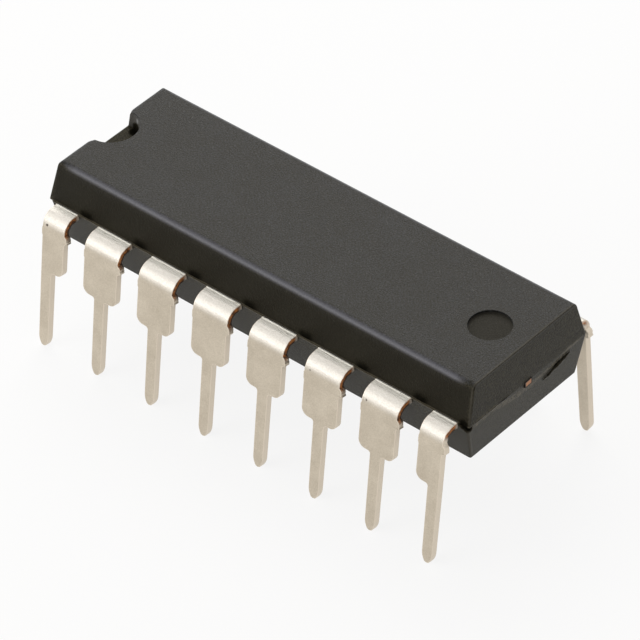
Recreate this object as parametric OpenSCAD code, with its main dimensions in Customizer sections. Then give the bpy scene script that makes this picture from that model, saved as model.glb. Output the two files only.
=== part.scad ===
// Dual in-line integrated circuit package with sixteen leads.
// +X runs along the body, away from the end notch. +Z is up, and the lead tips stand on Z = 0.
// The body's middle is at X = Y = 0. Row 1 to 8 is on the -Y side and row 9 to 16 on the +Y side.

/* [Moulded body] */
// How far each end of the body lies beyond the middle of the last lead
body_overhang = 0.685; // [0.5:0.005:0.8]
// Width of the top half at the parting line
body_w = 6.25; // [6.1:0.01:6.5]
// Height of the top half above the parting line
top_h = 1.54; // [1.35:0.01:1.8]
// Height of the bottom half below the parting line
bottom_h = 1.75; // [1.5:0.01:2.0]
// Draft of the top half's long sides, in degrees
top_side_draft = 14.5; // [6:0.5:16]
// Draft of the top half's two ends, in degrees
top_end_draft = 4; // [2:0.5:9]
// Draft of the bottom half's long sides, in degrees
bottom_side_draft = 12; // [6:0.5:16]
// Draft of the bottom half's two ends, in degrees
bottom_end_draft = 6.5; // [2:0.5:9]
// Rounding along the long edges of the top face
top_side_r = 0.24; // [0.1:0.01:0.3]
// Rounding along the end edges of the top face
top_end_r = 0.4; // [0.1:0.01:0.5]
// Rounding along the edges of the underside
bottom_edge_r = 0.1; // [0.05:0.01:0.2]
// Rounding of the four upright corners
corner_r = 0.15; // [0.1:0.01:0.4]
// Step by which the bottom half is wider on each long side
side_step = 0.065; // [0.01:0.005:0.09]
// Step by which the bottom half is shorter at each end
end_step = 0.085; // [0.01:0.005:0.09]
// Slip of the bottom half away from the notched end
mould_slip = 0.08; // [0:0.005:0.08]

/* [Marks in the moulding] */
// Radius of the end notch at its floor
notch_r = 0.93; // [0.6:0.01:1.2]
// Depth of the end notch
notch_depth = 0.68; // [0.4:0.01:1.0]
// How far the notch's middle lies in from the end face
notch_in = 0.19; // [0:0.01:0.3]
// Radius of the ejector marks
ejector_r = 0.775; // [0.4:0.005:1.0]
// Depth of the ejector marks
ejector_depth = 0.1; // [0.04:0.01:0.2]
// How far the ejector marks' middles lie in from the ends
ejector_in = 1.65; // [1.4:0.01:2.2]
// Width of the scar where the moulding gate broke off
gate_w = 1.3; // [0.8:0.05:1.8]
// Depth of the gate scar
gate_depth = 0.2; // [0.05:0.01:0.3]
// Radius of the void at the corner of the parting line
void_r = 0.38; // [0.2:0.01:0.5]

/* [Leads] */
// Distance between neighbouring leads
lead_pitch = 2.54; // [2.5:0.01:2.58]
// Thickness of the lead frame
lead_t = 0.25; // [0.2:0.01:0.3]
// Width of the shoulder that stops on the board
shoulder_w = 1.56; // [1.3:0.01:1.75]
// Length of the flat shoulder below the bend
shoulder_l = 1.85; // [1.6:0.01:2.1]
// Rounding of the shoulder's lower corners
shoulder_r = 0.3; // [0.15:0.01:0.4]
// Width of the narrow tip
tip_w = 0.48; // [0.4:0.01:0.56]
// Width of the tip where its bullet end starts
tip_end_w = 0.45; // [0.36:0.01:0.5]
// Length of the bullet end
tip_nose_l = 0.42; // [0.3:0.01:0.6]
// Fillet between the shoulder and the tip
tip_fillet_r = 0.1; // [0.05:0.01:0.15]
// Inside radius of the bend
bend_r = 0.3; // [0.2:0.01:0.4]
// Straight run of a lead between the body and its bend
exit_run = 0.22; // [0.12:0.01:0.3]
// Height of the underside above the lead tips
stand_h = 3.8; // [3.4:0.01:4.1]
// Outward lean of the first row, in degrees
splay_first = 7.5; // [2:0.5:10]
// Outward lean of the second row, in degrees
splay_second = 4; // [2:0.5:10]
// Length of the cut-off dam bar along the shoulder
dam_l = 0.42; // [0.25:0.01:0.5]
// How far the dam bar's stub stands out on the cut side
dam_stub = 0.13; // [0.05:0.01:0.2]
// How far the dam bar's stub stands out on the other side
dam_trace = 0.03; // [0.01:0.01:0.05]
// Offset of the whole lead frame towards the notched end
frame_slip = 0.03; // [0:0.01:0.12]

/* [Inside] */
// Length of the die pad
pad_l = 4.2; // [3.8:0.1:4.6]
// How far the sides of the die pad lie in from the body's sides
pad_in = 1.625; // [1.5:0.005:1.8]
// Depth by which the die pad lies below the leads
pad_downset = 0.25; // [0.1:0.01:0.35]
// Width of the tie bars that hold the die pad
tie_w = 0.38; // [0.3:0.01:0.42]
// Border of the die pad beyond the ends of the silicon die
end_border = 1.0; // [0.8:0.05:1.2]
// Border of the die pad beyond the sides of the silicon die
side_border = 0.6; // [0.45:0.05:0.7]
// Thickness of the silicon die
die_t = 0.3; // [0.2:0.01:0.4]
// Thickness of the adhesive under the die
attach_t = 0.03; // [0.02:0.005:0.05]
// Width of the fingers inside the body
finger_w = 0.4; // [0.3:0.01:0.44]
// Clear gap between the fingers and the die pad
finger_gap = 0.25; // [0.2:0.01:0.35]
// Radius of the holes that lock the leads in the moulding
lock_r = 0.2; // [0.12:0.01:0.24]
// Diameter of the bond wires
wire_d = 0.03; // [0.025:0.001:0.04]
// Height of the bond wires' loops above the die
wire_loop = 0.22; // [0.15:0.01:0.35]

/* [Hidden] */
row_count = 8;
lead_count = 2 * row_count;
two_digits = function(n) str(n < 10 ? "0" : "", n);
lead_names = [for (n = [1:lead_count]) str("lead_", two_digits(n))];
wire_names = [for (n = [1:lead_count]) str("bond_wire_", two_digits(n))];
$fn = 48;

epoxy = "#333233";
tin = "#cfc6b8";
copper = "#b5744a";
silver_glue = "#a9a9a6";
silicon = "#5d6470";
gold = "#d9a93a";

// Heights: the parting line is level with the upper face of the lead frame.
part_z = stand_h + bottom_h;
top_z = part_z + top_h;
lead_z = part_z - lead_t;
pad_z = lead_z - pad_downset;
attach_z = pad_z + lead_t;
die_z = attach_z + attach_t;
die_top = die_z + die_t;

// Sizes of the two halves, the die pad and the silicon die.
body_l = (row_count - 1) * lead_pitch + 2 * body_overhang;
bottom_l = body_l - 2 * end_step;
bottom_w = body_w + 2 * side_step;
pad_w = body_w - 2 * pad_in;
die_l = pad_l - 2 * end_border;
die_w = pad_w - 2 * side_border;

// Plan places, measured out from the body's middle.
bend_start = bottom_w / 2 + exit_run;
bend_z = lead_z - bend_r;
land_in = 0.75; // depth of a lead's full-width land inside the body
land_u = body_w / 2 - land_in;
lock_u = body_w / 2 - land_in / 2;
tie_proud = 0.02; // cut end of a tie bar beyond the moulding
slack = 1; // how far a cutting shape runs past what it cuts
cut_in = 0.003; // bite that keeps a rounding cut from grazing its faces
lap = 0.04; // overlap that joins a bend to the flat strips before and after it

function row_side(n) = n <= row_count ? 1 : 2;
function place_in_row(n) = n <= row_count ? n : lead_count + 1 - n;
function lead_x(i) = (i - (row_count + 1) / 2) * lead_pitch - frame_slip;
function splay(side) = side == 1 ? splay_first : splay_second;

// A corner lead has its shoulder only on the side that faces its neighbour.
function left_edge(i) = i == 1 ? -tip_w / 2 : -shoulder_w / 2;
function right_edge(i) = i == row_count ? tip_w / 2 : shoulder_w / 2;
function land_mid(i) = (left_edge(i) + right_edge(i)) / 2;

// The leg is as long as it takes to bring its inner face down to Z = 0.
function leg_l(side) = (bend_z + bend_r * sin(splay(side))) / cos(splay(side));

// Steps of a lead from the middle of its row: 0 is next to the middle and 3 is at a corner.
function steps_out(i) = abs(i - (row_count + 1) / 2) - 0.5;
function end_sign(i) = i > row_count / 2 ? 1 : -1;

// Where a finger ends beside the pad: two of each four end along its side, two across its end.
side_u = pad_w / 2 + finger_gap + finger_w / 2;
knee_u = side_u + (land_u - side_u) / 4; // where the middle leads' fingers turn towards the pad
end_x = pad_l / 2 + finger_gap + finger_w / 2;
lane = finger_w + finger_gap;
inner_lane = tie_w / 2 + finger_gap + finger_w / 2;
function finger_tip(i) =
    let (k = steps_out(i), s = end_sign(i))
    k < 2 ? [s * (lane * (0.9 + 1.5 * k)) - frame_slip, side_u]
          : [s * end_x - frame_slip, k == 2 ? inner_lane + lane : inner_lane];
function finger_knee(i) =
    let (k = steps_out(i), tip = finger_tip(i), s = end_sign(i))
    k < 2 ? [tip[0] + 0.3 * (lead_x(i) - tip[0]), knee_u]
          : [tip[0] + (k == 2 ? 0.42 : 0.64) * (lead_x(i) - tip[0]), tip[1]];

// The bond pad on the die lies on the line from the die's middle to the finger's tip.
bond_inset = 0.12;
function bond_share(p) = min((die_l / 2 - bond_inset) / abs(p[0]), (die_w / 2 - bond_inset) / p[1]);
function die_bond(i) =
    let (tip = finger_tip(i) + [frame_slip, 0])
    tip * bond_share(tip) - [frame_slip, 0];

// One drafted half of the moulding seen along one axis: half width w at the parting line,
// height h, draft a, and edges rounded to radius r. Height runs along +Y.
module half_section(w, h, a, r) {
    top_w = w - h * tan(a);
    reach = r * tan((90 - a) / 2);
    intersection() {
        polygon([[-w, 0], [w, 0], [top_w, h], [-top_w, h]]);
        union() {
            translate([-w, 0]) square([2 * w, h - r * (1 - sin(a))]);
            translate([-top_w + reach, 0]) square([2 * (top_w - reach), h]);
            for (s = [-1, 1])
                translate([s * (top_w - reach), h - r]) circle(r);
        }
    }
}

// Takes off one upright corner to a radius, along the line in which the two drafted faces meet.
module corner_cut(l, w, h, side_draft, end_draft) {
    lean = [-tan(end_draft), -tan(side_draft), 1];
    inset = corner_r - cut_in;
    translate([l - inset / cos(end_draft), w - inset / cos(side_draft), 0])
        rotate([-asin(lean[1] / norm(lean)), atan(lean[0]), 0])
            translate([0, 0, -h])
                linear_extrude(3 * h)
                    difference() {
                        square(3 * corner_r);
                        circle(corner_r);
                    }
}

// A half of the moulding, standing on its parting face, with drafted sides and round corners.
module moulded_half(l, w, h, side_draft, end_draft, side_r, end_r) {
    difference() {
        intersection() {
            translate([-l, 0, 0]) rotate([90, 0, 90])
                linear_extrude(2 * l) half_section(w, h, side_draft, side_r);
            translate([0, w, 0]) rotate([90, 0, 0])
                linear_extrude(2 * w) half_section(l, h, end_draft, end_r);
        }
        for (mx = [0, 1], my = [0, 1])
            mirror([mx, 0, 0]) mirror([0, my, 0]) corner_cut(l, w, h, side_draft, end_draft);
    }
}

module top_half() {
    translate([0, 0, part_z])
        moulded_half(body_l / 2, body_w / 2, top_h, top_side_draft, top_end_draft, top_side_r, top_end_r);
}

module bottom_half() {
    difference() {
        translate([mould_slip, 0, part_z]) mirror([0, 0, 1])
            moulded_half(bottom_l / 2, bottom_w / 2, bottom_h, bottom_side_draft, bottom_end_draft,
                         bottom_edge_r, bottom_edge_r);
        corner_void();
    }
}

// Half-round notch that marks the end of lead 1. Its wall has a draft as well.
module end_notch() {
    notch_draft = 5;
    rim_r = notch_r + (notch_depth + slack) * tan(notch_draft);
    translate([-(body_l / 2 - top_h * tan(top_end_draft)) + notch_in, 0, top_z - notch_depth])
        cylinder(r1 = notch_r, r2 = rim_r, h = notch_depth + slack);
}

// Round marks that the ejector pins leave: one in the top face and two in the underside.
module ejector_marks() {
    mark_x = body_l / 2 - ejector_in;
    translate([mark_x, 0, top_z - ejector_depth]) cylinder(r = ejector_r, h = slack);
    for (s = [-1, 1])
        translate([s * mark_x, 0, stand_h - slack]) cylinder(r = ejector_r, h = slack + ejector_depth);
}

// Ragged crevice under the parting line where the gate was broken off, as a leaning lens shape.
module gate_scar() {
    scar_y = body_w / 4;
    scar_drop = bottom_h * 0.345;
    scar_lean = 10;
    lens_r = gate_w * 2;
    lens_off = sqrt(lens_r * lens_r - gate_w * gate_w / 4);
    scar_x = bottom_l / 2 + mould_slip - scar_drop * tan(bottom_end_draft) - gate_depth;
    translate([scar_x, scar_y, part_z - scar_drop]) rotate([scar_lean, 0, 0]) rotate([90, 0, 90])
        linear_extrude(slack) intersection() {
            translate([0, lens_off]) circle(lens_r);
            translate([0, -lens_off]) circle(lens_r);
        }
}

// Void where the epoxy did not fill the bottom half's corner, beside lead 8.
module corner_void() {
    translate([bottom_l / 2 + mould_slip, -bottom_w / 2, part_z - lead_t / 4]) sphere(void_r);
}

module moulding_shape() {
    difference() {
        union() {
            top_half();
            bottom_half();
        }
        end_notch();
        ejector_marks();
        gate_scar();
    }
}

// A straight strip with round ends, between two points of the plan.
module strip(a, b, w) {
    run = b - a;
    translate(a) rotate(atan2(run[1], run[0])) {
        translate([0, -w / 2]) square([norm(run), w]);
        circle(w / 2);
        translate([norm(run), 0]) circle(w / 2);
    }
}

// Plan of the part of a lead that lies inside the body, up to where the bend starts.
module finger_plan(i) {
    x = lead_x(i);
    land_end = [x + land_mid(i), land_u + finger_w / 2];
    difference() {
        union() {
            translate([x + left_edge(i), land_u])
                square([right_edge(i) - left_edge(i), bend_start - land_u]);
            strip(land_end, finger_knee(i), finger_w);
            strip(finger_knee(i), finger_tip(i), finger_w);
        }
        translate([x + land_mid(i), lock_u]) circle(lock_r);
    }
}

// Outline of the flat leg. X is across it and -Y runs down it from the end of the bend.
module leg_plan(i, l) {
    nose_y = -l + tip_nose_l;
    left = left_edge(i);
    right = right_edge(i);
    shoulder(left, right);
    if (left < -tip_w / 2) tip_corner(-1);
    if (right > tip_w / 2) tip_corner(1);
    polygon([
        [-tip_w / 2, 0], [tip_w / 2, 0], [tip_w / 2, -shoulder_l],
        [tip_end_w / 2, nose_y], [-tip_end_w / 2, nose_y], [-tip_w / 2, -shoulder_l]
    ]);
    bullet_nose(nose_y);
}

// The wide part of the leg, with rounded lower corners and the stubs of the sheared dam bar.
module shoulder(left, right) {
    low = -shoulder_l + shoulder_r;
    translate([left, low]) square([right - left, -low]);
    if (left < -tip_w / 2) rounded_corner(left, -1, low);
    if (right > tip_w / 2) rounded_corner(right, 1, low);
    dam_top = 0.02;
    polygon([
        [left, -dam_top], [left - dam_trace, -dam_top - dam_l * 0.2],
        [left - dam_trace, -dam_l * 0.8], [left, -dam_l],
        [right, -dam_l], [right + dam_stub, -dam_l * 0.85],
        [right + dam_stub * 0.8, -dam_top - dam_l * 0.25], [right, -dam_top]
    ]);
}

module rounded_corner(edge, s, low) {
    translate([edge - s * shoulder_r, low]) circle(shoulder_r);
    translate([s > 0 ? 0 : edge + shoulder_r, -shoulder_l])
        square([abs(edge) - shoulder_r, shoulder_r]);
}

module tip_corner(s) {
    translate([s * tip_w / 2, -shoulder_l]) mirror([s > 0 ? 0 : 1, 0])
        difference() {
            translate([0, -tip_fillet_r]) square(tip_fillet_r);
            translate([tip_fillet_r, -tip_fillet_r]) circle(tip_fillet_r);
        }
}

// Bullet-shaped end: the lens of two wide arcs, blunted by a third.
module bullet_nose(y) {
    half = tip_end_w / 2;
    pointed_l = tip_nose_l * 1.2;
    wide_r = (half * half + pointed_l * pointed_l) / (2 * half);
    blunt_r = tip_w * 0.55;
    intersection() {
        translate([half - wide_r, y]) circle(wide_r);
        translate([wide_r - half, y]) circle(wide_r);
        translate([0, y - tip_nose_l + blunt_r]) union() {
            circle(blunt_r);
            translate([-half, 0]) square([2 * half, tip_nose_l]);
        }
        translate([-half, y - tip_nose_l]) square([2 * half, tip_nose_l]);
    }
}

// Side view of a bend, centred on its axis, from the flat exit at the top to the leg at angle a.
module bend_side(a) {
    far = 2 * (bend_r + lead_t);
    intersection() {
        difference() {
            circle(bend_r + lead_t);
            circle(bend_r);
        }
        polygon([[0, 0], [far * cos(a), far * sin(a)], [far, far], [0, far]]);
    }
    translate([-lap, bend_r]) square([lap, lead_t]);
    rotate(a) translate([bend_r, -lap]) square([lead_t, lap]);
}

// One lead: the finger inside, the bend just outside the body, and the flat leg.
module lead_shape(n) {
    i = place_in_row(n);
    side = row_side(n);
    a = splay(side);
    x = lead_x(i);
    mirror([0, side == 1 ? 0 : 1, 0]) {
        translate([0, 0, lead_z]) linear_extrude(lead_t) mirror([0, 1, 0]) finger_plan(i);
        translate([x + right_edge(i), -bend_start, bend_z]) rotate([90, 0, -90])
            linear_extrude(right_edge(i) - left_edge(i)) bend_side(a);
        translate([x, -bend_start, bend_z]) rotate([90 - a, 0, 0])
            translate([0, 0, bend_r]) linear_extrude(lead_t) leg_plan(i, leg_l(side));
    }
}

// The pad under the die, with a tie bar that steps up to the parting line at each end.
module pad_shape() {
    step_x = end_x + finger_w;
    low = pad_z;
    high = lead_z;
    start = pad_l / 2 - 0.2;
    end_left = body_l / 2 - end_step - mould_slip + tie_proud;
    end_right = body_l / 2 + tie_proud;
    translate([-frame_slip - pad_l / 2, -pad_w / 2, pad_z]) cube([pad_l, pad_w, lead_t]);
    for (s = [-1, 1])
        translate([0, tie_w / 2, 0]) rotate([90, 0, 0])
            linear_extrude(tie_w) mirror([s < 0 ? 1 : 0, 0])
                tie_side(start - s * frame_slip, step_x - s * frame_slip, s < 0 ? end_left : end_right,
                         low, high);
}

module tie_side(start, step_x, end, low, high) {
    rise = high - low;
    polygon([
        [start, low], [step_x, low], [step_x + rise, high], [end, high],
        [end, high + lead_t], [step_x + rise, high + lead_t], [step_x, low + lead_t],
        [start, low + lead_t]
    ]);
}

module attach_shape() {
    spread = 0.08;
    translate([-frame_slip, 0, attach_z + attach_t / 2])
        cube([die_l + 2 * spread, die_w + 2 * spread, attach_t], center = true);
}

module die_shape() {
    translate([-frame_slip, 0, die_z + die_t / 2]) cube([die_l, die_w, die_t], center = true);
}

// Bond wires: each is a tube along a cubic curve that rises straight off the die and lands
// straight down on the finger, with a ball at the die and a small foot at the finger.
wire_sides = 6;
ball_r = wire_d * 1.25;
foot_r = wire_d * 0.75;
wire_stops = [0, 0.015, 0.03, 0.045, 0.15, 0.3, 0.45, 0.6, 0.75, 0.9, 0.98, 1];
function wire_radius(t) =
    t == 0 ? ball_r * 0.85 : t == 0.015 ? ball_r : t == 0.03 ? ball_r * 0.8 : t == 1 ? foot_r : wire_d / 2;
function on_curve(p, t) =
    pow(1 - t, 3) * p[0] + 3 * t * pow(1 - t, 2) * p[1] + 3 * t * t * (1 - t) * p[2] + t * t * t * p[3];
function along_curve(p, t) =
    pow(1 - t, 2) * (p[1] - p[0]) + 2 * t * (1 - t) * (p[2] - p[1]) + t * t * (p[3] - p[2]);

module wire_shape(n) {
    i = place_in_row(n);
    side = row_side(n) == 1 ? -1 : 1;
    from = [die_bond(i)[0], side * die_bond(i)[1], die_top];
    to = [finger_tip(i)[0], side * finger_tip(i)[1], part_z];
    rise = [0, 0, wire_loop * 4 / 3];
    fall = [0, 0, wire_loop * 4 / 3 + die_top - part_z];
    path = [from, from + rise, to + fall, to];
    flat = [to[0] - from[0], to[1] - from[1], 0] / norm([to[0] - from[0], to[1] - from[1]]);
    across = cross([0, 0, 1], flat);
    rings = [for (t = wire_stops)
        let (c = on_curve(path, t), d = along_curve(path, t), up = cross(across, d / norm(d)), r = wire_radius(t))
        for (k = [0:wire_sides - 1])
            let (v = k * 360 / wire_sides) c + r * (cos(v) * across + sin(v) * up)
    ];
    last = len(wire_stops) - 1;
    walls = [for (j = [0:last - 1], k = [0:wire_sides - 1])
        let (m = (k + 1) % wire_sides, a = j * wire_sides, b = a + wire_sides)
        each [[a + k, b + m, b + k], [a + k, a + m, b + m]]];
    first_cap = [for (k = [1:wire_sides - 2]) [0, k + 1, k]];
    last_cap = [for (k = [1:wire_sides - 2]) [0, k, k + 1] + last * wire_sides * [1, 1, 1]];
    polyhedron(points = rings, faces = concat(walls, first_cap, last_cap));
}

// The moulding closes tightly round everything that it holds.
module moulded_body() {
    color(epoxy) difference() {
        moulding_shape();
        for (n = [1:lead_count]) lead_shape(n);
        pad_shape();
        attach_shape();
        die_shape();
        for (n = [1:lead_count]) wire_shape(n);
    }
}

module lead(n) {
    color(tin) lead_shape(n);
}

module die_pad() {
    color(copper) pad_shape();
}

module die_attach() {
    color(silver_glue) attach_shape();
}

module silicon_die() {
    color(silicon) die_shape();
}

module bond_wire(n) {
    color(gold) wire_shape(n);
}

moulded_body();
die_pad();
die_attach();
silicon_die();
for (n = [1:lead_count]) {
    lead(n);
    bond_wire(n);
}
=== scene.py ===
# Dual in-line integrated circuit package on a pale floor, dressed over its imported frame.
import math
import bpy
import bmesh
import numpy as np
from mathutils import Matrix
from mathutils.geometry import delaunay_2d_cdt


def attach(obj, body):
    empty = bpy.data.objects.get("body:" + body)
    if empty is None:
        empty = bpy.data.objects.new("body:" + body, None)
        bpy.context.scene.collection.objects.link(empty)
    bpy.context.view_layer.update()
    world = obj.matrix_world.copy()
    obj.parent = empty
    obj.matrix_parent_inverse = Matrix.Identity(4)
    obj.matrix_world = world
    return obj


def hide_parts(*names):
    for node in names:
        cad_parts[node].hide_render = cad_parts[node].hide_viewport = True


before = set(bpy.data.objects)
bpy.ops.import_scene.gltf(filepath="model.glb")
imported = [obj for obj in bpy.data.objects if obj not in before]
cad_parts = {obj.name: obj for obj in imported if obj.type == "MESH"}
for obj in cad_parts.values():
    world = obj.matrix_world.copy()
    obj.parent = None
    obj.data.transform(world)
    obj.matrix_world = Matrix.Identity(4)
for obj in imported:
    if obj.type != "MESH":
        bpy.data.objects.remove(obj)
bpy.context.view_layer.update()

mm = 0.001  # sizes and places below are in millimetres, and meshes and lamps in metres


# Shader maths: a socket on which + - * / add the nodes that work the value out
class Signal:
    def __init__(self, paint, socket):
        self.paint, self.socket = paint, socket

    def math(self, operation, *others):
        return self.paint.math(operation, self, *others)

    def __add__(self, other):
        return self.math("ADD", other)

    def __sub__(self, other):
        return self.math("SUBTRACT", other)

    def __rsub__(self, other):
        return self.paint.math("SUBTRACT", other, self)

    def __mul__(self, other):
        return self.math("MULTIPLY", other)

    def __truediv__(self, other):
        return self.math("DIVIDE", other)

    def __neg__(self):
        return self * -1.0

    __radd__, __rmul__ = __add__, __mul__

    def largest(self, other):
        return self.math("MAXIMUM", other)

    def smallest(self, other):
        return self.math("MINIMUM", other)

    def size(self):
        return self.math("ABSOLUTE")

    def fraction(self):
        return self.math("FRACT")

    def between(self, low, high):  # 0 at low, 1 at high, eased
        return self.paint.node("ShaderNodeMapRange", {"interpolation_type": "SMOOTHSTEP"},
                               {"Value": self, "From Min": low, "From Max": high})[0]


class Paint:  # the nodes of one material, or of the world
    def __init__(self, holder):
        holder.use_nodes = True
        self.holder, self.tree = holder, holder.node_tree
        self.tree.nodes.clear()

    def node(self, kind, settings, inputs):
        made = self.tree.nodes.new(kind)
        for key, value in settings.items():
            setattr(made, key, value)
        for key, value in inputs.items():
            if isinstance(value, Signal):
                self.tree.links.new(value.socket, made.inputs[key])
            else:
                made.inputs[key].default_value = value
        return [Signal(self, socket) for socket in made.outputs]

    def math(self, operation, *parts):
        return self.node("ShaderNodeMath", {"operation": operation}, dict(enumerate(parts)))[0]

    def place(self, stretch=(1, 1, 1)):  # object coordinates in millimetres, stretched
        spot = self.node("ShaderNodeTexCoord", {}, {})[3]
        return self.node("ShaderNodeVectorMath", {"operation": "MULTIPLY"},
                         {0: spot, 1: tuple(share / mm for share in stretch)})[0]

    def parts(self, vector):
        return self.node("ShaderNodeSeparateXYZ", {}, {0: vector})

    def noise(self, vector, scale, detail, rough=0.5):
        return self.node("ShaderNodeTexNoise", {"noise_dimensions": "3D"},
                         {"Vector": vector, "Scale": scale, "Detail": detail, "Roughness": rough})[0]

    def own(self, name):  # a number kept on the mesh
        return self.node("ShaderNodeAttribute", {"attribute_name": name}, {})[2]

    def away(self, vector, point):  # distance from one point
        return self.node("ShaderNodeVectorMath", {"operation": "DISTANCE"}, {0: vector, 1: point})[1]

    def mix(self, share, first, second):
        first = first if isinstance(first, Signal) else (*first, 1)
        second = second if isinstance(second, Signal) else (*second, 1)
        return self.node("ShaderNodeMix", {"data_type": "RGBA"}, {0: share, 6: first, 7: second})[2]

    def bump(self, height, distance, strength):
        return self.node("ShaderNodeBump", {}, {"Height": height, "Distance": distance * mm,
                                                "Strength": strength})[0]

    def finish(self, inputs):
        surface = self.node("ShaderNodeBsdfPrincipled", {}, inputs)[0]
        self.node("ShaderNodeOutputMaterial", {}, {"Surface": surface})
        return self.holder


# Meshes: grids of points worked out as whole arrays
def gridFaces(rows, columns):
    # quads between neighbouring rows of a grid of points, where each row is a closed loop
    row, column = np.meshgrid(np.arange(rows - 1), np.arange(columns), indexing="ij")
    a, b = row * columns + column, row * columns + (column + 1) % columns
    return np.stack([a, b, b + columns, a + columns], -1).reshape(-1, 4)


def flatFill(loops, z):
    # triangles that fill the plane at height z, inside the first loop and outside the round holes after it
    points = np.concatenate(loops)
    edges, start = [], 0
    for loop in loops:
        index = np.arange(len(loop)) + start
        edges += np.stack([index, np.roll(index, -1)], -1).tolist()
        start += len(loop)
    spots, _, faces = delaunay_2d_cdt(points.tolist(), edges, [], 1, 1e-7)[:3]
    spots, faces = np.array([tuple(spot) for spot in spots]), np.array(faces)
    middles, kept = spots[faces].mean(1), np.ones(len(faces), bool)
    for hole in loops[1:]:
        radius = np.linalg.norm(hole - hole.mean(0), axis=1).min()
        kept &= np.linalg.norm(middles - hole.mean(0), axis=1) > radius
    return np.column_stack([spots, np.full(len(spots), z)]), faces[kept]


def stacked(x, y, z):
    # a grid of points, with one closed loop of x and y for each height in z
    return np.stack([x, y, np.broadcast_to(z[:, None], x.shape)], -1)


class Shell:  # collects grids and fills, then makes one closed piece of them
    def __init__(self):
        self.points, self.faces, self.marks, self.count = [], [], {}, 0

    def add(self, points, faces, **marks):  # marks are numbers for the finish, one for each point
        points = points.reshape(-1, 3)
        faces = faces.tolist() if isinstance(faces, np.ndarray) else faces
        self.faces += [[index + self.count for index in face] for face in faces]
        for name in {**self.marks, **marks}:
            before = self.marks.get(name, np.zeros(self.count))
            added = marks[name].reshape(-1) if name in marks else np.zeros(len(points))
            self.marks[name] = np.concatenate([before, added])
        self.points.append(points)
        self.count += len(points)

    def piece(self, name, material, nodes, slot, crease):
        mesh = bpy.data.meshes.new(name)
        mesh.from_pydata((np.concatenate(self.points) * mm).tolist(), [], self.faces)
        for key, values in self.marks.items():
            mesh.attributes.new(key, "FLOAT", "POINT").data.foreach_set("value", values.astype(np.float32))
        work = bmesh.new()
        work.from_mesh(mesh)
        bmesh.ops.remove_doubles(work, verts=work.verts, dist=3e-7)
        bmesh.ops.dissolve_degenerate(work, edges=work.edges, dist=1e-8)
        bmesh.ops.recalc_face_normals(work, faces=work.faces)
        work.to_mesh(mesh)
        work.free()
        mesh.shade_smooth()
        mesh.set_sharp_from_angle(angle=math.radians(crease))
        mesh.materials.append(material)
        made = bpy.data.objects.new(name, mesh)
        bpy.context.scene.collection.objects.link(made)
        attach(made, "root")
        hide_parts(*nodes)


def smoothNoise(seed, count, step):
    # seeded random numbers from -1 to 1, one every step places, eased into each other
    values = np.random.default_rng(seed).uniform(-1, 1, count // step + 3)
    place = np.arange(count) / step
    low = place.astype(int)
    share = place - low
    share = share * share * (3 - 2 * share)
    return values[low] * (1 - share) + values[low + 1] * share


# Camera, as the photograph was taken. Its focal length and the picture's width are in pixels.
camera = {
    "spot": (90.519, -100.830, 120.395), "right": (0.75837, 0.65139, -0.02373),
    "up": (-0.41323, 0.50861, 0.75535), "ahead": (-0.50410, 0.56303, -0.65489),
    "focal": 5126.525, "picture": 640, "sensor": 36.0, "clip": (0.01, 20),
}


def placeCamera():
    lens = bpy.data.cameras.new("photoCamera")
    lens.sensor_width = camera["sensor"]
    lens.lens = camera["focal"] * camera["sensor"] / camera["picture"]
    lens.clip_start, lens.clip_end = camera["clip"]
    made = bpy.data.objects.new("photoCamera", lens)
    turn = Matrix((camera["right"], camera["up"], tuple(-v for v in camera["ahead"]))).transposed()
    made.matrix_world = Matrix.Translation([v * mm for v in camera["spot"]]) @ turn.to_4x4()
    bpy.context.scene.collection.objects.link(made)
    bpy.context.scene.camera = made
    print("camera placed")


# Moulded body: two drafted halves with a notch, ejector marks, a gate scar and an unfilled corner.
# Pairs are for the notched end and the far end. Points says how many each stretch of outline has.
body = {
    "partZ": 5.55, "overlap": 0.03, "border": 0.03, "farthest": 9.594, "crease": 32,
    "top": {"halfLength": 9.575, "halfWidth": 3.125, "height": 1.54, "centre": 0.0, "corner": 0.06,
            "endDraft": (7.0, 4.0), "sideDraft": 14.5, "endRound": (0.24, 0.04), "sideRound": 0.24},
    "bottom": {"halfLength": 9.49, "halfWidth": 3.19, "height": 1.75, "centre": 0.08, "corner": 0.07,
               "endDraft": (6.5, 6.5), "sideDraft": 12.0, "endRound": (0.10, 0.10), "sideRound": 0.10},
    "notch": {"x": -9.277, "y": -0.06, "radius": 0.945, "floor": 6.39, "draft": 4.5, "rim": 0.015,
              "worn": 0.08, "wornReach": 0.10},
    "ejector": {"x": 7.925, "radius": 0.775, "depth": 0.10, "rim": 0.010, "lip": 0.02, "fillet": 0.03},
    "gate": {"y": 1.59, "drop": 0.465, "halfLength": 0.72, "halfWidth": 0.115, "lean": 10.0,
             "depth": 0.16, "wall": 0.05, "burr": 0.022},
    "flash": {"y": -1.9, "halfLength": 1.25, "thickness": 0.035, "reach": 0.018},
    "void": {"x": 9.57, "y": -3.19, "drop": 0.02, "radius": 0.27},
    "points": {"beside": 12, "corner": 10, "side": 180, "end": 170, "notch": 56, "pit": 112},
}


def insetAt(height, half, draft, rounding):
    # how far a wall lies in from its foot: the draft's slope, then the tangent arc into the flat face
    slope, full = math.tan(math.radians(draft)), half["height"]
    arcStart = full - rounding * (1 - math.sin(math.radians(draft)))
    centre = full * slope + rounding * math.tan(math.radians(90 - draft) / 2)
    rise = np.clip(height - full + rounding, 0, rounding)
    return np.where(height <= arcStart, height * slope, centre - np.sqrt(rounding ** 2 - rise ** 2))


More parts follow.
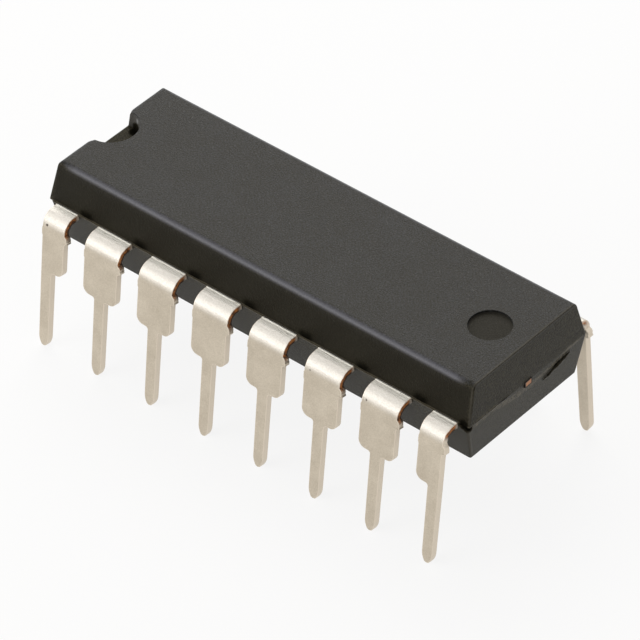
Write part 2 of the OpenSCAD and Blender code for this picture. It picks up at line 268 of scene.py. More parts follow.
def halfRings(half, heights, shrink=0.0, notch=None, mouth=None, worn=0.0):
    # closed outlines at each height: straight ends and sides, quarter circles at the corners, and
    # across the notch either its arc or a straight line, set in by worn and eased out beside it
    leftInset, rightInset = [insetAt(heights, half, draft, rounding)
                             for draft, rounding in zip(half["endDraft"], half["endRound"])]
    left = half["centre"] - (half["halfLength"] - leftInset - shrink)[:, None]
    right = half["centre"] + (half["halfLength"] - rightInset - shrink)[:, None]
    sideInset = insetAt(heights, half, half["sideDraft"], half["sideRound"])
    width = (half["halfWidth"] - sideInset - shrink)[:, None]
    corner, middle, worn = half["corner"], body["notch"]["y"], worn + 0 * width
    inner = width - corner
    if notch is None:
        mouth = mouth + 0 * width
    else:
        rise = heights + body["partZ"] - notch["floor"]
        faceRise = half["height"] + body["partZ"] - notch["floor"]
        lip = np.clip(rise - (faceRise - notch["rim"]), 0, notch["rim"])
        radius = notch["radius"] + rise * math.tan(math.radians(notch["draft"])) \
            + notch["rim"] - np.sqrt(notch["rim"] ** 2 - lip ** 2) + shrink
        radius = radius[:, None]
        mouth = np.sqrt(radius ** 2 - (left + worn - notch["x"]) ** 2)
    xs, ys = [], []

    def steps(stretch):  # shares from 0 up to 1, without the 1 that starts the next stretch
        return np.arange(body["points"][stretch])[None, :] / body["points"][stretch]

    def line(x0, y0, x1, y1, stretch):
        xs.append(x0 + (x1 - x0) * steps(stretch))
        ys.append(y0 + (y1 - y0) * steps(stretch))

    def arc(x, y, start):
        angle = np.radians(start + 90 * steps("corner"))
        xs.append(x + corner * np.cos(angle))
        ys.append(y + corner * np.sin(angle))

    def beside(side, share):  # on the end, from the notch (share 0) to the corner (share 1)
        gap = (inner - side * middle - mouth) * share
        xs.append(left + worn * np.exp(-(gap / body["notch"]["wornReach"]) ** 2))
        ys.append(middle + side * (mouth + gap))

    beside(-1, steps("beside") ** 2)
    arc(left + corner, -inner, 180)
    line(left + corner, -width, right - corner, -width, "side")
    arc(right - corner, -inner, 270)
    line(right, -inner, right, inner, "end")
    arc(right - corner, inner, 0)
    line(right - corner, width, left + corner, width, "side")
    arc(left + corner, inner, 90)
    beside(1, (1 - steps("beside")) ** 2)
    if notch is None:
        line(left + worn, middle + mouth, left + worn, middle - mouth, "notch")
    else:
        turn = np.arctan2(mouth, left + worn - notch["x"])
        angle = turn * (1 - 2 * steps("notch"))
        xs.append(notch["x"] + radius * np.cos(angle))
        ys.append(middle + radius * np.sin(angle))
    return np.concatenate(xs, 1), np.concatenate(ys, 1)


def ejectorPit(shell, x, z, facing):
    # rings of one circle: a small lip, a steep wall, a fillet and a flat floor that closes at its middle
    mark, count = body["ejector"], body["points"]["pit"]
    turn = np.linspace(0, math.pi / 2, 5)
    radius = np.concatenate([[mark["radius"] + mark["rim"] + mark["lip"]],
                             mark["radius"] + mark["rim"] * (1 - np.sin(turn)),
                             mark["radius"] - mark["fillet"] * (1 - np.cos(turn)), [0.5, 0.25, 0.0]])
    depth = np.concatenate([[0], mark["rim"] * (1 - np.cos(turn)),
                            mark["depth"] - mark["fillet"] * (1 - np.sin(turn)),
                            mark["depth"] * np.array([0.985, 0.975, 0.97])])
    angle = np.arange(count) / count * 2 * math.pi
    rings = stacked(x + radius[:, None] * np.cos(angle), radius[:, None] * np.sin(angle), z - facing * depth)
    shell.add(rings, gridFaces(len(radius), count), pit=np.repeat(depth / mark["depth"], count))
    return rings[0][:, :2]


def flatFace(shell, outline, shrunk, z, facing, sides, **marks):
    # a narrow flat border from the last outline to its shrunken copy, then a fill round the ejector marks
    (x, y), (innerX, innerY) = outline, shrunk
    border = np.stack([np.stack([x[-1], innerX[0]]), np.stack([y[-1], innerY[0]]),
                       np.full((2, x.shape[1]), z)], -1)
    shell.add(border, gridFaces(2, x.shape[1]), **marks)
    pits = [ejectorPit(shell, side * body["ejector"]["x"], z, facing) for side in sides]
    shell.add(*flatFill([np.column_stack([innerX[0], innerY[0]])] + pits, z))


def buildBody(material):
    # each half is a stack of outlines from the parting plane out to its flat face
    top, bottom, notch, partZ = body["top"], body["bottom"], body["notch"], body["partZ"]
    shell = Shell()

    # top half: up to the notch's floor the outline is whole
    floorRise, reach = np.array([notch["floor"] - partZ]), notch["wornReach"]
    left = top["centre"] - top["halfLength"] \
        + insetAt(floorRise, top, top["endDraft"][0], top["endRound"][0])
    mouth = np.sqrt(notch["radius"] ** 2 - (left + notch["worn"] - notch["x"]) ** 2)[:, None]
    low = np.concatenate([[-body["overlap"], 0, 0.015, 0.035, 0.06, 0.1],
                          np.linspace(0.16, floorRise[0] - reach, 8),
                          floorRise - reach * np.array([0.7, 0.5, 0.35, 0.2, 0.1, 0])])
    foot = low.clip(0, None)
    worn = notch["worn"] * np.clip(1 - (floorRise - foot) / reach, 0, 1)[:, None] ** 2
    x, y = halfRings(top, foot, mouth=mouth, worn=worn)
    shell.add(stacked(x, y, partZ + low), gridFaces(*x.shape))
    lowerFace = np.column_stack([x[0], y[0]])

    # above its floor the notch's arc cuts in
    turn = np.radians(np.linspace(top["endDraft"][1], 90, 16))
    high = [floorRise, np.linspace(floorRise[0], top["height"] - 0.42, 5)]
    high += [top["height"] - radius * (1 - np.sin(turn))
             for radius in (*top["endRound"], top["sideRound"], notch["rim"])]
    high = np.unique(np.round(np.concatenate(high), 4))
    x, y = halfRings(top, high, notch=notch, worn=notch["worn"])
    # painted highlight on the long edges: strongest where they face 42 degrees up, and none near the ends
    facing = np.degrees(np.arcsin(np.clip(1 - (top["height"] - high) / top["sideRound"], 0, 1)))
    edgeHighlight = np.clip(1.22 * np.exp(-((facing - 42) / 32) ** 2) - 0.22, 0, None)
    along = np.clip((top["halfLength"] - 0.45 - np.abs(x)) / 0.5, 0, 1) * (np.abs(y) > 2.4)
    shell.add(stacked(x, y, partZ + high), gridFaces(*x.shape), rubbedEdge=edgeHighlight[:, None] * along)
    floorLoop = np.column_stack([x[0], y[0]])[-body["points"]["notch"]:]
    shell.add(*flatFill([np.concatenate([floorLoop, [[x[0][0], y[0][0]]]])], notch["floor"]))
    shrunk = halfRings(top, high[-1:], shrink=body["border"], notch=notch, worn=notch["worn"])
    flatFace(shell, (x, y), shrunk, partZ + top["height"], 1, (1,),
             rubbedEdge=np.stack([edgeHighlight[-1] * along[-1], 0 * along[-1]]))
    shell.add(*flatFill([lowerFace], partZ - body["overlap"]))

    # bottom half: hangs from the parting plane, with the gate scar and the void pressed into it
    turn = np.radians(np.linspace(bottom["endDraft"][0], 90, 10))
    deep = np.concatenate([np.linspace(0, 0.32, 14), np.linspace(0.34, 0.95, 34), np.linspace(1.0, 1.6, 8),
                           bottom["height"] - bottom["sideRound"] * (1 - np.sin(turn))])
    deep = np.unique(np.round(deep, 4))
    x, y = halfRings(bottom, deep, mouth=mouth)
    points, hollow = pressedIn(stacked(x, y, partZ - deep))
    shell.add(points, gridFaces(*x.shape), hollow=hollow)
    shell.add(*flatFill([points[0][:, :2]], partZ))
    shrunk = halfRings(bottom, deep[-1:], shrink=body["border"], mouth=mouth)
    flatFace(shell, (x, y), shrunk, partZ - bottom["height"], -1, (-1, 1))
    shell.piece("mouldedBody", material, ["moulded_body"], "epoxy", body["crease"])
    print("moulded body built")


def pressedIn(points):
    # moves points of the bottom half: inwards at the gate scar and the void, outwards at burr and flash
    x, y, z = points[..., 0], points[..., 1], points[..., 2]
    partZ, gate, flash, hole = body["partZ"], body["gate"], body["flash"], body["void"]
    depth = partZ - z
    onEnd = (x > 9.2) & (np.abs(y) < 2.95) & (depth < 1.3)
    # gate scar: a leaning lens, deep along its middle, on the end that faces away from the notch
    lean = math.radians(gate["lean"])
    along = (y - gate["y"]) * math.cos(lean) + (z - partZ + gate["drop"]) * math.sin(lean)
    across = (z - partZ + gate["drop"]) * math.cos(lean) - (y - gate["y"]) * math.sin(lean)
    across = across - 0.04 * np.tanh((along + 0.28) / 0.06)
    ragged = 1 + 0.14 * np.sin(along * 13 + 1.3) + 0.12 * np.sin(along * 29 - np.sign(across) * 1.1)
    lens = np.clip(1 - (along / gate["halfLength"]) ** 2, 0, None)
    half = gate["halfWidth"] * lens * ragged * (1 + 0.3 * along)
    scar = np.clip((half - np.abs(across)) / gate["wall"], 0, 1)
    scar = scar * scar * (3 - 2 * scar)
    burr = gate["burr"] * np.exp(-((np.abs(across) - half - 0.035) / 0.03) ** 2)
    burr = burr * (np.abs(along) < gate["halfLength"])
    x = np.where(onEnd, x - scar * gate["depth"] + burr, x)
    # flash: a thin uneven lip along the parting line, widest beside the void
    ripple = np.sin(y * 9.1) * 0.35 + np.sin(y * 23.7 + 1.0) * 0.25 + 0.75
    reach = np.exp(-((y - flash["y"]) / flash["halfLength"]) ** 4)
    lip = flash["reach"] * np.exp(-(depth / flash["thickness"]) ** 2) * ripple * reach
    x = x + np.where(onEnd, lip, 0)
    # void: what lies inside a ball round the corner is pushed inwards onto the ball's far side
    away = np.stack([x - hole["x"], y - hole["y"], z - partZ + hole["drop"]], -1)
    inward = np.array([-0.70711, 0.70711, 0.0])
    distance = np.linalg.norm(away, axis=-1)
    radius = hole["radius"] * (1 + 0.07 * np.sin(z * 21.7 + y * 11) + 0.05 * np.sin(x * 37 + y * 29))
    along = away @ inward
    push = np.sqrt(np.clip(along ** 2 - distance ** 2 + radius ** 2, 0, None)) - along
    push = np.where((distance < radius) & (depth < 0.8), np.clip(push, 0, None), 0)[..., None]
    # painted shade: how deeply each point is pressed into the gate scar and the void, for darkening them
    hollow = np.maximum(scar * onEnd * 0.85, np.clip(push[..., 0] / 0.08, 0, 1))
    return np.stack([np.minimum(x, body["farthest"]), y, z], -1) + inward * push, hollow


# Black epoxy: each noise has its scale, detail and roughness, and bump its distance and strength
epoxy = {
    "cloud": (0.9, 3, 0.5), "grain": (21, 2, 0.7), "speck": (16, 2, 0.6), "fibre": (6, 4, 0.7),
    # sides and face are a painted light tint: warm as in the floor's bounce, cool as under overhead light
    "black": (0.0005, 0.0005, 0.0005), "sides": (0.060, 0.053, 0.033), "face": (0.055, 0.060, 0.072),
    "dust": (0.14, 0.135, 0.13), "edgeHighlight": (0.075, 0.075, 0.105), "pitFloor": (0.016, 0.015, 0.013),
    "paintedSideShade": (0.001, 0.0007, 0), "wornEdge": (0.055, 0.050, 0.040), "flash": (0.15, 0.13, 0.09),
    "flashShadow": (0.002, 0.001, 0.001), "hollow": (0.002, 0.002, 0.0015), "fleck": (0.22, 0.22, 0.22),
    "litNotchWall": (0.065, 0.062, 0.058), "gapShadeStart": 1.08, "voidShadeSpot": (9.33, -3.16, 5.56),
    "notchShadowSpot": (-8.98, 0.77, 6.50), "notchHighlightSpot": (-8.90, 0.84, 6.86), "bump": (0.023, 0.8),
    "roughness": 0.30, "specular": 0.17, "specularTint": (1.0, 0.88, 0.60, 1.0), "coatRoughness": 0.40,
}


def epoxyPaint():
    paint = Paint(bpy.data.materials.new("blackEpoxy"))
    spot = paint.place()
    x, y, z = paint.parts(spot)
    cloud, grain = paint.noise(spot, *epoxy["cloud"]), paint.noise(spot, *epoxy["grain"])
    speck, fibre = paint.noise(spot, *epoxy["speck"]), paint.noise(spot, *epoxy["fibre"])
    rise, aside, notch = z - body["partZ"], y.size(), body["notch"]
    end, side = x.between(9.2, 9.4), aside.between(3.08, 3.12)
    # painted light tint: the top face painted cooler, as under overhead light, and the sides warmer, as in
    # the floor's bounce
    pale = paint.mix(z.between(6.95, 7.06), epoxy["sides"], epoxy["face"])
    colour = paint.mix(cloud * 0.3 + grain * 2.8 - 1.30, epoxy["black"], pale)
    colour = paint.mix(speck.between(0.64, 0.78) * 0.7, colour, epoxy["dust"])
    # long top edges: a painted highlight, paler and bluish, and smoother under a coat
    edgeHighlight = paint.own("rubbedEdge")
    colour = paint.mix(edgeHighlight * (grain * 0.5 + 0.4), colour, epoxy["edgeHighlight"])
    # ejector marks: dark matt floors
    pit = paint.own("pit")
    colour = paint.mix(pit * 0.6, colour, epoxy["pitFloor"])
    # painted shade: the upper sides painted darker and browner than the top
    sideShade = aside.between(2.70, 2.82) * (1 - rise.between(1.30, 1.46)) * rise.between(0, 0.01)
    colour = paint.mix(sideShade * (1 - x.size().between(9.3, 9.45)) * 0.85, colour, epoxy["paintedSideShade"])
    # the far end's edges are worn a little paler
    worn = (aside + rise.size() * 0.235).between(3.06, 3.10) * (x + rise.size() * 0.09).between(9.49, 9.53)
    worn = worn.largest(x.between(9.37, 9.42) * z.between(7.0, 7.06)) * (fibre * 1.2 + 0.1)
    colour = paint.mix(worn, colour, epoxy["wornEdge"])
    # parting line: pale along both sides, and on the end a pale torn band that sags below it
    line = 1 - (rise + 0.005 + fibre * 0.05 - 0.025).size().between(0.012, 0.045)
    sag = ((y - 0.2) * (y - 0.2) * 0.075 - 0.36).smallest(-0.06)
    above = rise - sag + fibre * 0.16 - 0.08
    band = 1 - (above.size() - (0.7 - y).between(0, 0.6) * 0.06).between(0.03, 0.12)
    band = band * end * (3.1 - aside).between(0, 0.4) * (grain * 1.2 + fibre * 2.0 - 1.2).between(0, 0.7)
    colour = paint.mix((band * 0.65).largest(line * side * (0.25 + fibre * 0.5)), colour, epoxy["flash"])
    # painted shadow: thin dark lines just above the band, left of the copper and just right of it
    flashShadow = 1 - (above - 0.17).size().between(0.012, 0.045)
    leftFlashShadow = y.between(-1.75, -1.45) * (1 - y.between(-0.85, -0.5))
    rightFlashShadow = y.between(0.12, 0.2) * (1 - y.between(0.35, 0.6))
    colour = paint.mix(flashShadow * (leftFlashShadow + rightFlashShadow) * end * 0.85, colour, epoxy["flashShadow"])
    # painted shade above the gap to the right of each near lead, and beside the void
    step = ((x - epoxy["gapShadeStart"]) / lead["pitch"]).fraction()
    gapShade = 1 - ((step - 0.5).size() * lead["pitch"] + fibre * 0.2 - 0.1).between(0.10, 0.45)
    gapShade = gapShade * (1 - (rise + fibre * 0.2 - 0.1).between(0.08, 0.36))
    gapShade = gapShade * (-y).between(2.7, 2.95) * rise.between(0, 0.01)
    gapShade = gapShade.largest(1 - (paint.away(spot, epoxy["voidShadeSpot"]) + fibre * 0.1 - 0.05).between(0.12, 0.27))
    # painted light and shade on the notch's far wall: painted paler than its floor, with a painted shadow at
    # its foot and a painted highlight spot
    ring = paint.away(paint.place((1, 1, 0)), (notch["x"], notch["y"], 0))
    wall = (1 - ring.between(0.99, 1.0)) * y.between(0.1, 0.5)
    wall = wall * z.between(6.41, 6.44) * (1 - z.between(7.05, 7.08))
    colour = paint.mix(wall * 0.7, colour, epoxy["litNotchWall"])
    # painted shadow at the wall's foot, cut off above by a sloping plane
    notchShadow = 1 - paint.away(spot, epoxy["notchShadowSpot"]).between(0.19, 0.29)
    notchShadow = notchShadow * (1 - (z - x * 0.85 - 14.46).between(-0.03, 0.03))
    # painted highlight: a small bright spot high on the far wall
    colour = paint.mix(1 - paint.away(spot, epoxy["notchHighlightSpot"]).between(0.03, 0.13), colour, epoxy["fleck"])
    # painted shade: the gate scar, the void, the gaps and the notch's foot painted dark
    hollow = paint.own("hollow").largest(gapShade).largest(notchShadow)
    colour = paint.mix(hollow, colour, epoxy["hollow"])
    # the notch's floor is as matt as the ejector marks
    floorAway = paint.away(spot, (notch["x"], notch["y"], notch["floor"]))
    floor = (1 - (z - notch["floor"]).size().between(0.004, 0.02)) * (1 - floorAway.between(0.92, 0.95))
    pit = pit.largest(floor)
    rough = epoxy["roughness"] + grain * 0.10 + cloud * 0.04 + pit * 0.25 + hollow * 0.4
    normal = paint.bump(grain * 1.1 + speck * 0.6 + fibre * 0.2 * end, *epoxy["bump"])
    return paint.finish({"Base Color": colour, "Roughness": rough, "Normal": normal,
                         "Metallic": (pit * 0.08).largest(hollow * 0.7),
                         "Specular IOR Level": epoxy["specular"], "Specular Tint": epoxy["specularTint"],
                         "Coat Weight": edgeHighlight * 0.9, "Coat Roughness": epoxy["coatRoughness"]})


# Leads: stamped strips that leave the body, bend down and end in a bullet tip.
# Splay is for the near row and the far row. Stub and trace are what is left of the cut dam bar.
lead = {
    "perRow": 8, "pitch": 2.54, "slip": -0.03, "thickness": 0.25, "bendStart": 3.41, "bendZ": 5.0,
    "bendRadius": 0.30, "splay": (7.5, 4.0), "shoulder": 0.78, "shoulderLength": 1.85,
    "shoulderRound": 0.30, "tip": 0.24, "tipEnd": 0.225, "fillet": 0.10, "nose": 0.42,
    "noseRound": 0.677, "blunt": 0.264, "bluntStart": 0.156, "edge": 0.018, "border": 0.02,
    "inside": 2.85, "ridge": 0.016, "ridgeAt": 3.22, "ridgeWidth": 0.014, "stub": 0.13, "trace": 0.03,
    "torn": 0.012, "floorGap": 0.0008, "crease": 35, "seed": 40,
}


def legOutline(length):
    # half width against distance down the leg: shoulder, round corner, fillet, slim tip and bullet nose
    shoulder, corner, fillet = lead["shoulder"], lead["shoulderRound"], lead["fillet"]
    down, half = [np.linspace(0, 0.5, 26)], [np.full(26, shoulder)]
    down.append(np.linspace(0.55, lead["shoulderLength"] - corner, 12))
    half.append(np.full(12, shoulder))
    turn = np.radians(np.linspace(8, 86, 9))
    down.append(lead["shoulderLength"] - corner * (1 - np.sin(turn)))
    half.append(shoulder - corner * (1 - np.cos(turn)))
    turn = np.radians(np.linspace(3, 90, 8))
    down.append(lead["shoulderLength"] + 0.004 + fillet * (1 - np.cos(turn)))
    half.append(lead["tip"] + fillet * (1 - np.sin(turn)))
    start = length - lead["nose"]
    down.append(np.linspace(lead["shoulderLength"] + 0.14, start, 16))
    half.append(np.linspace(lead["tip"], lead["tipEnd"], 16))
    # the nose takes the slimmer of a long arc down its sides and a blunt arc round its end
    share = np.linspace(0, 1, 15)[1:]
    along = lead["nose"] * (1 - (1 - share) ** 2)
    slim = np.sqrt(lead["noseRound"] ** 2 - along ** 2) - lead["noseRound"] + lead["tipEnd"]
    past = np.clip(along - lead["bluntStart"], 0, None)
    blunt = np.sqrt(np.clip(lead["blunt"] ** 2 - past ** 2, 0, None))
    down.append(start + along)
    half.append(np.minimum(slim, blunt))
    return np.concatenate(down), np.concatenate(half)


def leadPath(lean, down):
    # outer face of the strip: straight out of the body over a small ridge, round the bend, then down
    # the leaning leg, with its tilt and its run, which is the distance along it from the top of the leg
    out = np.array([lead["inside"], 3.0, 3.1, 3.19, 3.205, 3.22, 3.235, 3.25, 3.29, 3.35])
    turn = np.linspace(0, math.pi / 2 - lean, 22)[:-1]
    outer = lead["bendRadius"] + lead["thickness"]
    ridge = lead["ridge"] * np.exp(-((out - lead["ridgeAt"]) / lead["ridgeWidth"]) ** 2)
    y = [out, lead["bendStart"] + outer * np.sin(turn),
         lead["bendStart"] + outer * math.cos(lean) + down * math.sin(lean)]
    z = [lead["bendZ"] + outer + ridge, lead["bendZ"] + outer * np.cos(turn),
         lead["bendZ"] + outer * math.sin(lean) - down * math.cos(lean)]
    tilt = np.concatenate([0 * out, turn, np.full(len(down), math.pi / 2 - lean)])
    run = np.concatenate([out - lead["bendStart"] - 1.0, turn * outer - outer * (math.pi / 2 - lean), down])
    return np.concatenate(y), np.concatenate(z), tilt, run


def buildLead(number, material):
    # a flat section with rounded edges carried along the path, as wide at each place as the outline
    perRow, thick, rounding = lead["perRow"], lead["thickness"], lead["edge"]
    row = 0 if number <= perRow else 1
    place = number if row == 0 else 2 * perRow + 1 - number
    seed = lead["seed"] + number
    lean = math.radians(lead["splay"][row])
    length = (lead["bendZ"] + lead["bendRadius"] * math.sin(lean)) / math.cos(lean) - lead["floorGap"]
    down, half = legOutline(length)
    y, z, tilt, run = leadPath(lean, down)
    wide = np.concatenate([np.full(len(run) - len(down), lead["shoulder"]), half])
    slim = np.minimum(wide, lead["tip"])
    right = slim.copy() if place == perRow else wide.copy()
    left = slim.copy() if place == 1 else wide.copy()
    # sheared dam bar: a stub on the cut side, a trace on the other, and a torn edge above it
    jag = (smoothNoise(seed, len(run), 2) + smoothNoise(seed + 100, len(run), 5)) * lead["torn"]
    fainter = smoothNoise(seed + 200, len(run), 3) * lead["torn"] * 0.4
    torn = np.interp(run, [-0.75, -0.6, 0.42, 0.5], [0, 1, 1, 0])
    right += torn * jag * 0.8 + lead["stub"] * np.interp(run, [0.02, 0.125, 0.357, 0.42], [0, 0.8, 1, 0])
    left += torn * fainter + lead["trace"] * np.interp(run, [0.02, 0.104, 0.336, 0.42], [0, 1, 1, 0])

    def outward(width):  # unit vector out of the strip's edge, in its own plane: across, and down the leg
        across, along = np.gradient(run), -np.gradient(width)
        size = np.hypot(across, along)
        across, along = across / size, along / size
        across[-1], along[-1] = 0, 1
        return across[:, None], along[:, None]

    # side wall of the section: how far each point lies in from the edge, and how deep in the thickness
    turn = np.linspace(0, math.pi / 2, 4)
    flatEdge = [rounding + lead["border"]]
    inset = np.concatenate([flatEdge, rounding * (1 - np.sin(turn)), [0],
                            rounding * (1 - np.cos(turn)), flatEdge])
    depth = np.concatenate([[0], rounding * (1 - np.cos(turn)), [thick / 2],
                            thick - rounding * (1 - np.sin(turn)), [thick]])
    inset = np.minimum(inset[None, :], 0.8 * np.maximum(np.minimum(left, right), 0)[:, None] + 1e-4)
    share = np.linspace(0, 1, 8)[None, 1:-1]
    flat, side = share.shape[1], len(depth)

    def section(fromLeft, fromRight):  # once round: outer face, cut side, inner face, other side
        return np.concatenate([fromLeft[:, :1] + (fromRight[:, :1] - fromLeft[:, :1]) * share, fromRight,
                               fromRight[:, -1:] + (fromLeft[:, -1:] - fromRight[:, -1:]) * share,
                               fromLeft[:, ::-1]], 1)

    rightOut, leftOut = outward(right), outward(left)
    across = section(-left[:, None] + inset * leftOut[0], right[:, None] - inset * rightOut[0])
    slide = section(-inset * leftOut[1], -inset * rightOut[1])
    level = np.concatenate([np.zeros(flat), depth, np.full(flat, thick), depth[::-1]])[None, :]
    wall = np.concatenate([np.zeros(flat), np.ones(side), np.zeros(flat), -np.ones(side)])
    wall[[flat, flat + side - 1, 2 * flat + side, -1]] = 0
    outY = y[:, None] + slide * np.cos(tilt)[:, None] - level * np.sin(tilt)[:, None]
    outZ = z[:, None] - slide * np.sin(tilt)[:, None] - level * np.cos(tilt)[:, None]
    centre = (place - (perRow + 1) / 2) * lead["pitch"] + lead["slip"]
    points = np.stack([centre + across, outY * (-1 if row == 0 else 1), outZ], -1)
    rows, columns = across.shape
    faces = gridFaces(rows, columns).tolist() + [list(range(columns))]  # the last closes the inner end
    through = np.broadcast_to(level / thick, across.shape)
    bare = np.ones(across.shape)
    if row == 1:  # little copper shows on the far row, in the middle of the bend's sheared face
        bare = np.exp(-((run[:, None] + 0.5) / 0.26) ** 2 - ((through - 0.5) / 0.32) ** 2)
    elif place == perRow:  # its stub is tinned
        bare = bare * np.clip(-0.5 - 4 * run, 0, 1)[:, None]
    shell = Shell()
    shell.add(points, faces, alongLead=np.repeat(run, columns), sideWall=np.tile(wall, rows),
              leadDepth=through, bareness=bare)
    shell.piece("tinnedLead%02d" % number, material, ["lead_%02d" % number], "tinned_lead", lead["crease"])


# Dull tin over copper: each noise has its scale, detail and roughness, and each nick its place and width
tin = {
    "cloud": (1.6, 3, 0.5), "grain": (20, 3, 0.7), "streak": (1.4, 3, 0.6), "jag": (8, 3, 0.75),
    "streakStretch": (1.5, 14, 14), "dark": (0.44, 0.38, 0.295), "pale": (0.65, 0.58, 0.475),
    "pressedDark": (0.49, 0.465, 0.43), "pressedPale": (0.64, 0.625, 0.59), "root": (0.83, 0.80, 0.72),
    "ridge": (0.42, 0.40, 0.36), "scratch": (0.20, 0.165, 0.12), "fleck": (0.95, 0.94, 0.90),
    "wall": (0.72, 0.64, 0.53), "nick": (0.05, 0.035, 0.025), "film": (0.010, 0.009, 0.008),
    "copperDark": (0.09, 0.036, 0.014), "copperPale": (0.60, 0.23, 0.065),
    "copperShade": (0.045, 0.022, 0.012), "roughness": 0.40, "bump": (0.012, 0.6),
    "nicks": (((-8.957, -3.944, 5.157), 0.07), ((3.246, -3.943, 5.166), 0.05),
              ((5.734, -3.938, 5.202), 0.06), ((9.157, -3.926, 5.293), 0.05)),
}


def tinPaint():
    paint = Paint(bpy.data.materials.new("dullTin"))
    spot = paint.place()
    along, wall, depth = paint.own("alongLead"), paint.own("sideWall"), paint.own("leadDepth")
    back = -along  # distance back from the top of the leg, over the bend to the body
    cloud, grain = paint.noise(spot, *tin["cloud"]), paint.noise(spot, *tin["grain"])
    streak = paint.noise(paint.place(tin["streakStretch"]), *tin["streak"])
    jag = paint.noise(spot, *tin["jag"])
    colour = paint.mix(cloud * 0.8 + grain * 1.5 - 0.62, tin["dark"], tin["pale"])
    # round the bend the plating is pressed smooth and pale, and by the body it is streaked and scratched
    pressed = paint.mix(grain * 2.4 + streak - 1.2, tin["pressedDark"], tin["pressedPale"])
    colour = paint.mix(back.between(-0.06, 0.3) * 0.75, colour, pressed)
    root = back.between(0.55, 1.0)
    colour = paint.mix(root * 0.8, colour, tin["root"])
    colour = paint.mix(back.between(1.15, 1.18) * 0.35, colour, tin["ridge"])
    colour = paint.mix(root * streak.between(0.56, 0.68) * 0.6, colour, tin["scratch"])
    colour = paint.mix(root * grain.between(0.52, 0.68) * 0.7, colour, tin["fleck"])
    colour = paint.mix(wall.size().between(0.3, 0.7) * 0.7, colour, tin["wall"])
    for nick, wide in tin["nicks"]:  # small dark nicks in the near row
        dent = 1 - (paint.away(spot, nick) + grain * 0.05).between(wide * 0.6, wide * 1.5)
        colour = paint.mix(dent, colour, tin["nick"])
    # sheared edges: bare copper on the cut side round the bend, dark behind it, tin everywhere else
    bare = wall.between(0.25, 0.55) * (1 - (along + jag * 0.7).between(0.45, 0.62))
    bare = bare * back.between(1.25, 1.05) * paint.own("bareness")
    bare = bare * (depth + jag * 0.2 - 0.1).between(0.05, 0.16) * (1 - along.between(0.0, 0.22) * 0.55)
    copper = paint.mix(jag.between(0.38, 0.60), tin["copperDark"], tin["copperPale"])
    copper = paint.mix((depth + jag * 0.5 - 0.25).between(0.5, 0.85), copper, tin["copperShade"])
    colour = paint.mix(bare, colour, copper)
    # a film of moulding covers the strip's root, up to its ridge
    colour = paint.mix(back.between(1.232, 1.260) * 0.92, colour, tin["film"])
    rough = tin["roughness"] + grain * 0.12 + cloud * 0.06 + bare * 0.14 + root * 0.12
    normal = paint.bump(grain * 0.9 + streak * root * 1.4, *tin["bump"])
    return paint.finish({"Base Color": colour, "Metallic": 1 - bare * 0.5, "Roughness": rough,
                         "Normal": normal})


# Inside: what the moulding seals in, and the tie bars' cut ends that show
metals = {
    "shearedCopper": {"dark": (0.20, 0.085, 0.04), "pale": (0.62, 0.31, 0.16), "scale": 7.0,
                      "roughness": 0.45, "metallic": 0.6},
    "silverAdhesive": {"dark": (0.42, 0.42, 0.40), "pale": (0.60, 0.60, 0.57), "scale": 9.0,
                       "roughness": 0.45, "metallic": 0.35},
    "goldWire": {"dark": (0.80, 0.55, 0.16), "pale": (0.90, 0.66, 0.26), "scale": 12.0,
                 "roughness": 0.22, "metallic": 1.0},
}
tieBar = {"z": 5.435, "smear": (0.02, 0.017, 0.013)}


def metalPaint(name):
    facts = metals[name]
    paint = Paint(bpy.data.materials.new(name))
    spot = paint.place()
    cloud, grain = paint.noise(spot, facts["scale"], 3), paint.noise(spot, facts["scale"] * 9, 2, 0.6)
    colour = paint.mix(cloud * 0.6 + grain * 0.4, facts["dark"], facts["pale"])
    if name == "shearedCopper":  # moulding residue round the edges of the tie bars' cut ends
        x, y, z = paint.parts(spot)
        rim = (y.size() + grain * 0.1 - 0.05).between(0.125, 0.155)
        rim = rim.largest((z - tieBar["z"] + cloud * 0.1 - 0.05).size().between(0.075, 0.10))
        colour = paint.mix(rim * x.size().between(9.3, 9.4), colour, tieBar["smear"])
    return paint.finish({"Base Color": colour, "Metallic": facts["metallic"],
                         "Roughness": facts["roughness"] + grain * 0.15,
                         "Normal": paint.bump(grain, 0.006, 0.5)})


die = {
    "cell": (0.2, 0.24, 0.3, 1), "darkCell": (0.1, 0.14, 0.2, 1), "line": (0.5, 0.48, 0.42, 1),
    "tint": (0.16, 0.12, 0.24), "scale": 5.0, "lineWidth": 0.012, "offset": 0.35, "squash": 0.8,
    "roughness": 0.18, "metallic": 0.2,
}


def diePaint():
    paint = Paint(bpy.data.materials.new("etchedSilicon"))
    spot = paint.place()
    cells = paint.node("ShaderNodeTexBrick", {"offset": die["offset"], "squash": die["squash"]},
                       {"Vector": spot, "Scale": die["scale"], "Mortar Size": die["lineWidth"],
                        "Color1": die["cell"], "Color2": die["darkCell"], "Mortar": die["line"]})[0]
    cloud = paint.noise(spot, 2.2, 2)
    colour = paint.mix(cloud * 0.5, cells, die["tint"])
    return paint.finish({"Base Color": colour, "Roughness": die["roughness"] + cloud * 0.1,
                         "Metallic": die["metallic"]})


def paintInside():
    finishes = {"die_pad": metalPaint("shearedCopper"), "die_attach": metalPaint("silverAdhesive"),
                "silicon_die": diePaint()}
    gold = metalPaint("goldWire")
    finishes.update({"bond_wire_%02d" % number: gold for number in range(1, 2 * lead["perRow"] + 1)})
    for name, material in finishes.items():
        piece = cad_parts[name]
        if piece.material_slots:
            for holder in piece.material_slots:
                holder.material = material
        else:
            piece.data.materials.append(material)
    print("inside painted")


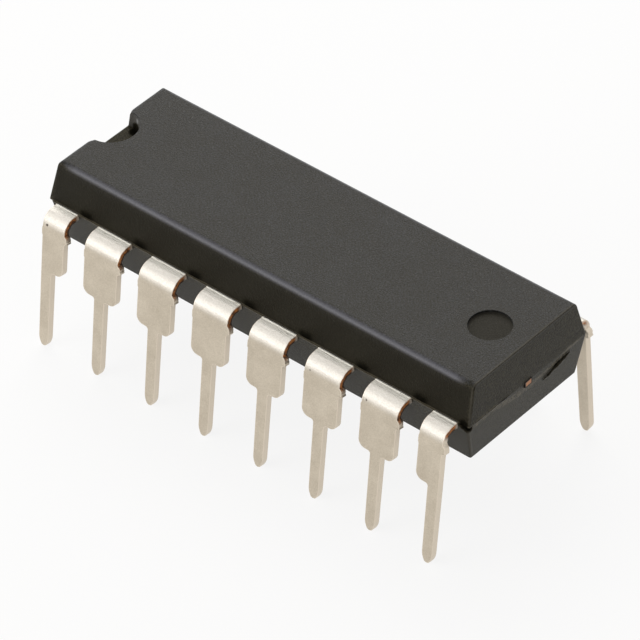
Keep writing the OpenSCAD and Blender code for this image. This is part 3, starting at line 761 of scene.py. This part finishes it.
# Floor and light: pale floor, one soft lamp behind and two to the left, and a pale sky
stage = {
    "floorRings": (0, 20, 60, 700), "floorZ": -0.001, "floor": (0.965, 0.95, 0.925),
    "floorShade": (0.9, 0.9, 0.9), "whiteShare": 0.86, "world": 0.4,
    "lamps": {"behind": {"spot": (-90, 100, 117), "size": 152, "level": 2.5},
              "side": {"spot": (-95, -118, 105), "size": 175, "level": 1.15},
              "key": {"spot": (-89, -140, 62), "size": 70, "level": 2.4}},
}


def seenRay(paint):
    # 1 for rays from the camera, and for those that metal or glass sends on
    path = {ray.socket.name: ray for ray in paint.node("ShaderNodeLightPath", {}, {})}
    return path["Is Camera Ray"].largest(path["Is Glossy Ray"]).largest(path["Is Transmission Ray"])


def buildFloor():
    # rings of one circle round the middle, flat and just below the tips
    turn = np.arange(64) / 64 * 2 * math.pi
    radius = np.array(stage["floorRings"])[:, None]
    level = np.full(len(radius), stage["floorZ"])
    points = stacked(radius * np.cos(turn), radius * np.sin(turn), level)
    mesh = bpy.data.meshes.new("paleFloor")
    faces = gridFaces(len(radius), len(turn)).tolist()
    mesh.from_pydata((points.reshape(-1, 3) * mm).tolist(), [], faces)
    paint = Paint(bpy.data.materials.new("palePaper"))
    fibre = paint.noise(paint.place(), 3.0, 2)
    colour = paint.mix(fibre * 0.02, stage["floor"], stage["floorShade"])
    paper = paint.node("ShaderNodeBsdfPrincipled", {},
                       {"Base Color": colour, "Roughness": 0.9, "Specular IOR Level": 0.1})[0]
    white = paint.node("ShaderNodeEmission", {}, {"Color": (1, 1, 1, 1), "Strength": 1.0})[0]
    both = paint.node("ShaderNodeMixShader", {},
                      {0: seenRay(paint) * stage["whiteShare"], 1: paper, 2: white})[0]
    paint.node("ShaderNodeOutputMaterial", {}, {"Surface": both})
    mesh.materials.append(paint.holder)
    floor = bpy.data.objects.new("paleFloor", mesh)
    bpy.context.scene.collection.objects.link(floor)
    print("floor built")


def placeLamps():
    for name, facts in stage["lamps"].items():
        lamp = bpy.data.lights.new(name, "AREA")
        lamp.size = facts["size"] * mm
        lamp.energy = facts["level"] * math.pi * lamp.size ** 2
        made = bpy.data.objects.new(name, lamp)
        spot = Matrix.Translation([v * mm for v in facts["spot"]])
        toward = -spot.translation.normalized()
        made.matrix_world = spot @ toward.to_track_quat("-Z", "Y").to_matrix().to_4x4()
        bpy.context.scene.collection.objects.link(made)
    # sky: white where it is seen, and dimmer as a light
    world = bpy.data.worlds.new("softSky")
    bpy.context.scene.world = world
    paint = Paint(world)
    level = paint.node("ShaderNodeMapRange", {}, {"Value": seenRay(paint), "To Min": stage["world"],
                                                  "To Max": 1.0})[0]
    sky = paint.node("ShaderNodeBackground", {}, {"Color": (1, 1, 1, 1), "Strength": level})[0]
    paint.node("ShaderNodeOutputWorld", {}, {"Surface": sky})
    bpy.context.scene.view_settings.view_transform = "Standard"
    print("lamps placed")


placeCamera()
buildFloor()
placeLamps()
buildBody(epoxyPaint())
plating = tinPaint()
for number in range(1, 2 * lead["perRow"] + 1):
    buildLead(number, plating)
print("leads built")
paintInside()
